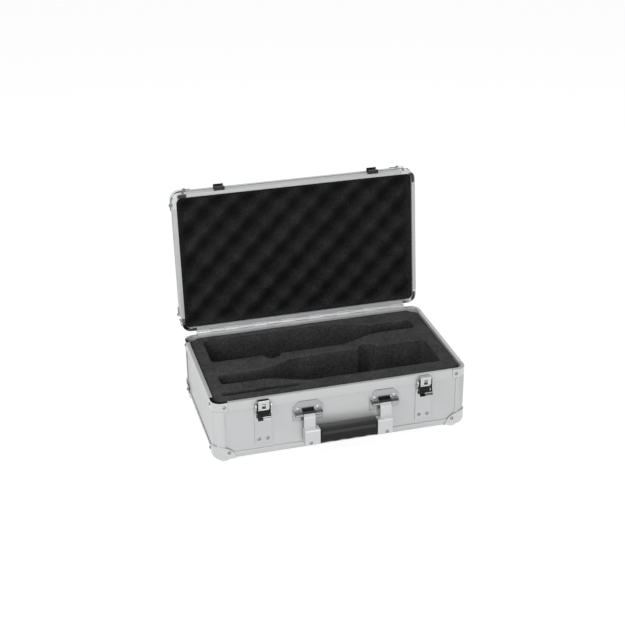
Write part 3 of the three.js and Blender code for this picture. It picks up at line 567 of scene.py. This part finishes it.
for side, middle in latch_places.items():
    dress(f"latch_plate_{side}", latch_plate_metal, fitting_edge, 1)
    dress(f"latch_lever_{side}", lever_metal, fitting_edge, 1)
    for part in ("pin", "claw"):
        dress(f"latch_{part}_{side}", polished_chrome, fitting_edge, 1)
    dress(f"lid_hook_{side}", dark_steel, fitting_edge, 1)
    plate_seats = [((middle + step, plate_face, plate_rivet_height), (0, -1, 0))
                   for step in (-plate_rivet_step, plate_rivet_step)]
    hook_seats = [((middle + step, hook_face, hook_rivet_height), (0, -1, 0))
                  for step in (-hook_rivet_step, hook_rivet_step)]
    rivet_heads(f"latch_plate_rivets_{side}", plate_seats, rivet_steel, "base")
    rivet_heads(f"lid_hook_rivets_{side}", lifted(hook_seats), dark_steel, "lid")


# Handle
# Moulded black grip between two satin metal arms, which swing on pins in plated brackets. The grip
# has a rib along its front, a collar at each end and shallow finger waves below; its top and its rib carry
# a painted highlight.

handle_middle = 0.006
arm_reach = 0.06381
pivot_height = 0.0685
arm_places = {"left": handle_middle - arm_reach, "right": handle_middle + arm_reach}

# Painted dark reflection: the tops of the brackets' knuckles and of the arms' barrels are painted dark
half_knuckle, half_barrel = (0.0063, 0.0052, 0.0018), (0.0097, 0.006, 0.0024)
knuckle_step = 0.0161
knuckle_shade = [((middle + step, -0.1268, pivot_height + 0.0026), half_knuckle)
                 for middle in arm_places.values() for step in (-knuckle_step, knuckle_step)]
barrel_shade = [((middle, -0.1264, pivot_height + 0.0034), half_barrel) for middle in arm_places.values()]
plated, shaded = (0.41, 0.415, 0.42), (0.07, 0.07, 0.072)
bracket_metal = two_tone("bracket_metal", plated, shaded, 0.9, 0.26, knuckle_shade)
arm_metal = two_tone("arm_metal", (0.6, 0.605, 0.61), black, 0.5, 0.3, barrel_shade)
bracket_rivet_step, bracket_rivet_rise = 0.0165, 0.0073
arm_face, arm_rivet_height, arm_edge = -0.1394, 0.02, 0.0003
for side, arm_x in arm_places.items():
    dress(f"handle_bracket_{side}", bracket_metal, fitting_edge, 1)
    dress(f"handle_pin_{side}", dark_steel, fitting_edge, 1)
    dress(f"handle_arm_{side}", arm_metal, arm_edge, 1)
    bracket_seats = [((arm_x + step, plate_face, pivot_height + rise), (0, -1, 0))
                     for step in (-bracket_rivet_step, bracket_rivet_step)
                     for rise in (-bracket_rivet_rise, bracket_rivet_rise)]
    arm_seat = ((arm_x, arm_face, arm_rivet_height), (0, -1, 0))
    rivet_heads(f"bracket_rivets_{side}", bracket_seats, satin_aluminium, "base")
    rivet_heads(f"arm_rivet_{side}", [arm_seat], rivet_steel, "handle")

plastic_shade, highlight_gain, plastic_grain = 0.007, 0.1, 700.0
grip_plastic, grip_tree, grip_shader = finish_material("grip_plastic", 0.0, 0.36, (0.009, 0.009, 0.0095))
grip_shader.inputs["Specular IOR Level"].default_value = 0.22
# Painted highlight: a point attribute makes the grip's top and rib paler
painted_highlight = grip_tree.nodes.new("ShaderNodeAttribute")
painted_highlight.attribute_name = "painted_highlight"
pale = combined(grip_tree, "MULTIPLY_ADD", painted_highlight.outputs["Fac"], highlight_gain, plastic_shade)
grip_place = grip_tree.nodes.new("ShaderNodeTexCoord").outputs["Object"]
grain = noise_on(grip_tree, grip_place, plastic_grain, 2.0)
mottled = combined(grip_tree, "MULTIPLY", pale, spread(grip_tree, grain, 0.3, 0.7, 0.85, 1.15))
wire(grip_tree, mottled, grip_shader.inputs["Base Color"])
bumped(grip_tree, grain, grip_shader, 0.00012, 0.4)

# The grip's outline is a rounded oblong, a little smaller in the groove by each collar and at the ends
grip_middle = Vector((handle_middle, -0.1312, 0.0295))
grip_half, grip_depth, grip_height = 0.04801, 0.0174, 0.028
grip_rings, grip_sides = 72, 96
grip_corner_power, grip_fullness, grip_edge = 7.0, 0.99, 0.0004
collar_start, groove_width, groove_depth = 0.93, 0.012, 0.03
end_start, end_drop = 0.98, 0.03
finger_waves, finger_depth = 4, 0.001
rib_height, rib_half_width, rib_proud = 0.0055, 0.0028, 0.0007
rib_highlight, top_highlight, top_sharpness = 0.35, 0.6, 12

grip_verts, grip_faces, grip_highlight = [], [], []
for ring in range(grip_rings + 1):
    t = -1 + 2 * ring / grip_rings
    reach = abs(t)
    end_round = end_drop * max(0.0, (reach - end_start) / (1 - end_start)) ** 2
    groove = groove_depth * math.exp(-((reach - collar_start) / groove_width) ** 2)
    size = grip_fullness - groove - end_round
    for step in range(grip_sides):
        angle = 2 * math.pi * step / grip_sides
        c, s = math.cos(angle), math.sin(angle)
        radius = (abs(c) ** grip_corner_power + abs(s) ** grip_corner_power) ** (-1 / grip_corner_power)
        y, z = radius * c * size * grip_depth / 2, radius * s * size * grip_height / 2
        if z < 0 and reach < collar_start:
            wave = (1 - math.cos(math.pi * finger_waves * (t / collar_start + 1))) / 2
            z += finger_depth * wave * min(1.0, -2 * z / grip_height)
        rib = math.exp(-((z - rib_height) / rib_half_width) ** 2) if reach < collar_start else 1.0
        if y < 0:
            y += rib_proud * (1 - rib) * min(1.0, -2 * y / grip_depth)
        # Painted highlight on the top, paler towards the rear, and along the rib
        top = max(0.0, 2 * z / grip_height) ** top_sharpness
        rib_part = rib_highlight * rib * (1 - top) if reach < collar_start else 0.0
        grip_highlight.append(top * (top_highlight + y / grip_depth) + rib_part)
        grip_verts.append(grip_middle + Vector((t * grip_half, y, z)))
for ring in range(grip_rings):
    for step in range(grip_sides):
        after = (step + 1) % grip_sides
        low, high = ring * grip_sides, (ring + 1) * grip_sides
        grip_faces.append((low + step, low + after, high + after, high + step))
grip_faces.append(tuple(reversed(range(grip_sides))))
grip_faces.append(tuple(grip_rings * grip_sides + step for step in range(grip_sides)))
moulded_grip = new_piece("moulded_grip", grip_verts, grip_faces, grip_plastic, "handle")
highlight_layer = moulded_grip.data.attributes.new("painted_highlight", "FLOAT", "POINT")
highlight_layer.data.foreach_set("value", grip_highlight)
eased(moulded_grip, grip_edge, 2)
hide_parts("handle_grip")


# Stage
# Pale floor under the feet, soft light from the upper left, the front and above, and the camera at
# the photograph's angle. The floor and the surroundings show white to the camera and in metal.

feet_bottom = case_box[0].z
floor_mesh = bpy.data.meshes.new("floor")
floor_reach = 6.0
floor_mesh.from_pydata([(-floor_reach, -floor_reach, 0), (floor_reach, -floor_reach, 0),
                        (floor_reach, floor_reach, 0), (-floor_reach, floor_reach, 0)], [], [(0, 1, 2, 3)])
floor = bpy.data.objects.new("floor", floor_mesh)
floor.location.z = feet_bottom
bpy.context.scene.collection.objects.link(floor)
floor_paint, floor_tree, floor_shader = finish_material("floor_paint", 0.0, 0.9, (0.7, 0.7, 0.7))
floor_mesh.materials.append(floor_paint)


# 1 for what the camera, metal and glass see, and 0 for the light that falls on the object
def ray_seen(tree):
    path = tree.nodes.new("ShaderNodeLightPath").outputs
    total = combined(tree, "ADD", path["Is Camera Ray"], path["Is Glossy Ray"])
    return combined(tree, "MINIMUM", combined(tree, "ADD", total, path["Is Transmission Ray"]), 1.0)


seen_paint = floor_tree.nodes.new("ShaderNodeBsdfDiffuse")
seen_paint.inputs["Color"].default_value = (0.2, 0.2, 0.2, 1.0)
glow = floor_tree.nodes.new("ShaderNodeEmission")
glow.inputs["Strength"].default_value = 0.9
lit_floor = floor_tree.nodes.new("ShaderNodeAddShader")
floor_choice = floor_tree.nodes.new("ShaderNodeMixShader")
wire(floor_tree, seen_paint.outputs[0], lit_floor.inputs[0])
wire(floor_tree, glow.outputs[0], lit_floor.inputs[1])
wire(floor_tree, ray_seen(floor_tree), floor_choice.inputs[0])
wire(floor_tree, floor_shader.outputs[0], floor_choice.inputs[1])
wire(floor_tree, lit_floor.outputs[0], floor_choice.inputs[2])
wire(floor_tree, floor_choice.outputs[0], floor_tree.nodes["Material Output"].inputs["Surface"])

world = bpy.data.worlds.new("studio")
bpy.context.scene.world = world
world.use_nodes = True
sky = world.node_tree
background = sky.nodes["Background"]
background.inputs["Color"].default_value = (1.0, 1.0, 1.0, 1.0)
background.inputs["Strength"].default_value = 0.3
way_up = sky.nodes.new("ShaderNodeSeparateXYZ")
wire(sky, sky.nodes.new("ShaderNodeTexCoord").outputs["Generated"], way_up.inputs[0])
seen = sky.nodes.new("ShaderNodeBackground")
seen.inputs["Color"].default_value = (1.0, 1.0, 1.0, 1.0)
wire(sky, spread(sky, way_up.outputs["Z"], 0.25, 0.9, 1.0, 0.05), seen.inputs["Strength"])
choice = sky.nodes.new("ShaderNodeMixShader")
wire(sky, ray_seen(sky), choice.inputs[0])
wire(sky, background.outputs[0], choice.inputs[1])
wire(sky, seen.outputs[0], choice.inputs[2])
wire(sky, choice.outputs[0], sky.nodes["World Output"].inputs["Surface"])


def softbox(name, place, target, size, power):
    lamp = bpy.data.lights.new(name, "AREA")
    lamp.shape = "RECTANGLE"
    lamp.size, lamp.size_y = size
    lamp.energy = power
    holder = bpy.data.objects.new(name, lamp)
    holder.location = place
    holder.rotation_euler = (Vector(target) - Vector(place)).to_track_quat("-Z", "Y").to_euler()
    bpy.context.scene.collection.objects.link(holder)


softbox("key_softbox", (-1.7, -0.75, 1.6), (0.0, 0.1, 0.2), (0.8, 0.8), 20.0)
softbox("front_softbox", (-0.3, -2.4, 1.0), (0.0, 0.0, 0.1), (2.4, 1.4), 27.0)
softbox("top_softbox", (0.3, -0.2, 2.4), (0.0, 0.0, 0.0), (1.6, 1.2), 16.0)

camera_data = bpy.data.cameras.new("camera")
camera_data.sensor_width = 36.0
camera_data.lens = 74.253
camera = bpy.data.objects.new("camera", camera_data)
camera.location = (-0.51829, -1.82698, 1.1255)
camera.rotation_euler = tuple(math.radians(a) for a in (63.4976, 0.4785, -15.6289))
bpy.context.scene.collection.objects.link(camera)
bpy.context.scene.camera = camera

bpy.context.scene.view_settings.view_transform = "Standard"
bpy.context.view_layer.update()
